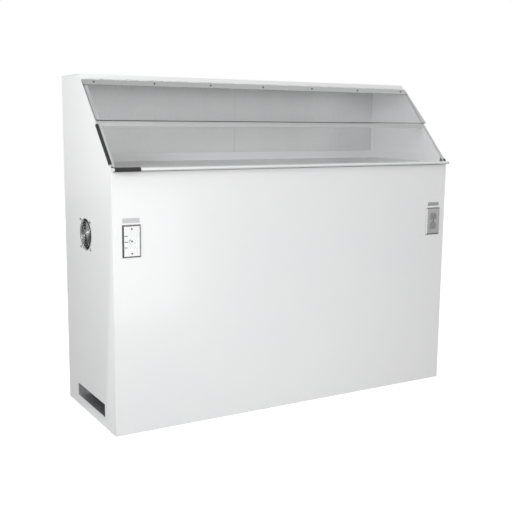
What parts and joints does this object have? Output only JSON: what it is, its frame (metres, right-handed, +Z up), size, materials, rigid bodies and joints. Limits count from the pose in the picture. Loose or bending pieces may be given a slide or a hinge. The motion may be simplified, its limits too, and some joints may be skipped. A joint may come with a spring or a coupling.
{
  "type": "fume hood",
  "caption": "Free-standing bench fume hood: white sheet-metal cabinet, stainless work chamber behind a hinged clear visor, side fan, low discharge slot, switch and socket on the front.",
  "frame": {"origin": "on the floor plane, under the middle of the cabinet: half-way between its side sheets and between its front and back sheets", "axes": "+Z up, +X along the width to the user's right, -Y out of the front face"},
  "size_m": [1.5312, 0.567, 1.293],
  "materials": {
    "painted_white": "glossy white powder coat with a fine orange peel",
    "stainless": "brushed stainless steel",
    "bright_steel": "polished stainless steel",
    "clear_sheet": "clear plastic sheet with saw-cut edges",
    "black_rubber": "matt black rubber",
    "pale_rubber": "translucent pale rubber",
    "black_plastic": "black moulded plastic",
    "cover_plate": "brushed stainless cover plate with polished bevels",
    "socket_plastic": "grey moulded plastic",
    "label_grey": "blank light grey label",
    "galvanised": "galvanised steel",
    "motor_enamel": "dark enamel",
    "charcoal_media": "black framed charcoal media",
    "filter_felt": "white non-woven filter pad"
  },
  "bodies": {
    "cabinet": {"side_panel_left": "painted_white", "side_panel_right": "painted_white", "front_panel": "painted_white", "back_panel": "painted_white", "roof_panel": "painted_white", "base_pan": "painted_white", "liner_back_left": "stainless", "liner_back_right": "stainless", "liner_left": "stainless", "liner_right": "stainless", "work_surface": "stainless", "work_grille_left": "stainless", "work_grille_right": "stainless", "visor_rail": "stainless", "hinge_leaf_fixed": "stainless", "hinge_pin": "bright_steel", "fan_screw_1": "bright_steel", "fan_screw_2": "bright_steel", "fan_screw_3": "bright_steel", "fan_screw_4": "bright_steel", "fan_guard": "bright_steel", "switch_body": "bright_steel", "switch_screw_top": "bright_steel", "switch_screw_bottom": "bright_steel", "socket_screw": "bright_steel", "edge_trim_left": "black_rubber", "end_trim_right": "black_rubber", "nosing_trim_left": "black_rubber", "visor_buffer_left": "pale_rubber", "visor_buffer_right": "pale_rubber", "fan_frame": "black_plastic", "cable_gland": "black_plastic", "switch_plate": "cover_plate", "socket_plate": "cover_plate", "socket_body": "socket_plastic", "label_strip_left": "label_grey", "label_strip_right": "label_grey", "switch_box": "galvanised", "socket_box": "galvanised", "wiring_conduit": "galvanised", "filter_shelf": "galvanised", "discharge_duct": "galvanised", "blower_housing": "galvanised", "blower_motor": "motor_enamel", "charcoal_filter_left": "charcoal_media", "charcoal_filter_right": "charcoal_media", "prefilter_pad_left": "filter_felt", "prefilter_pad_right": "filter_felt"},
    "visor": {"visor": "clear_sheet", "hinge_leaf_moving": "bright_steel", "visor_screw_1": "bright_steel", "visor_screw_2": "bright_steel", "visor_screw_3": "bright_steel", "visor_screw_4": "bright_steel", "visor_screw_5": "bright_steel", "visor_screw_6": "bright_steel", "visor_screw_7": "bright_steel"},
    "fan": {"fan_rotor": "black_plastic"},
    "blower": {"blower_wheel": "galvanised"},
    "toggle": {"toggle_lever": "bright_steel"}
  },
  "joints": [
    {"name": "visor_hinge", "type": "hinge", "parent": "cabinet", "child": "visor", "pos_m": [0, 0.0298, 1.27381], "axis": [-1, 0, 0], "range_deg": [0, 174]},
    {"name": "fan_spin", "type": "hinge", "parent": "cabinet", "child": "fan", "pos_m": [-0.7432, 0.015, 0.703], "axis": [1, 0, 0], "continuous": true},
    {"name": "blower_spin", "type": "hinge", "parent": "cabinet", "child": "blower", "pos_m": [-0.12, 0, 0.232], "axis": [0, 1, 0], "continuous": true},
    {"name": "toggle_throw", "type": "hinge", "parent": "cabinet", "child": "toggle", "pos_m": [-0.69175, -0.261, 0.707], "axis": [1, 0, 0], "range_deg": [-13, 13]}
  ]
}
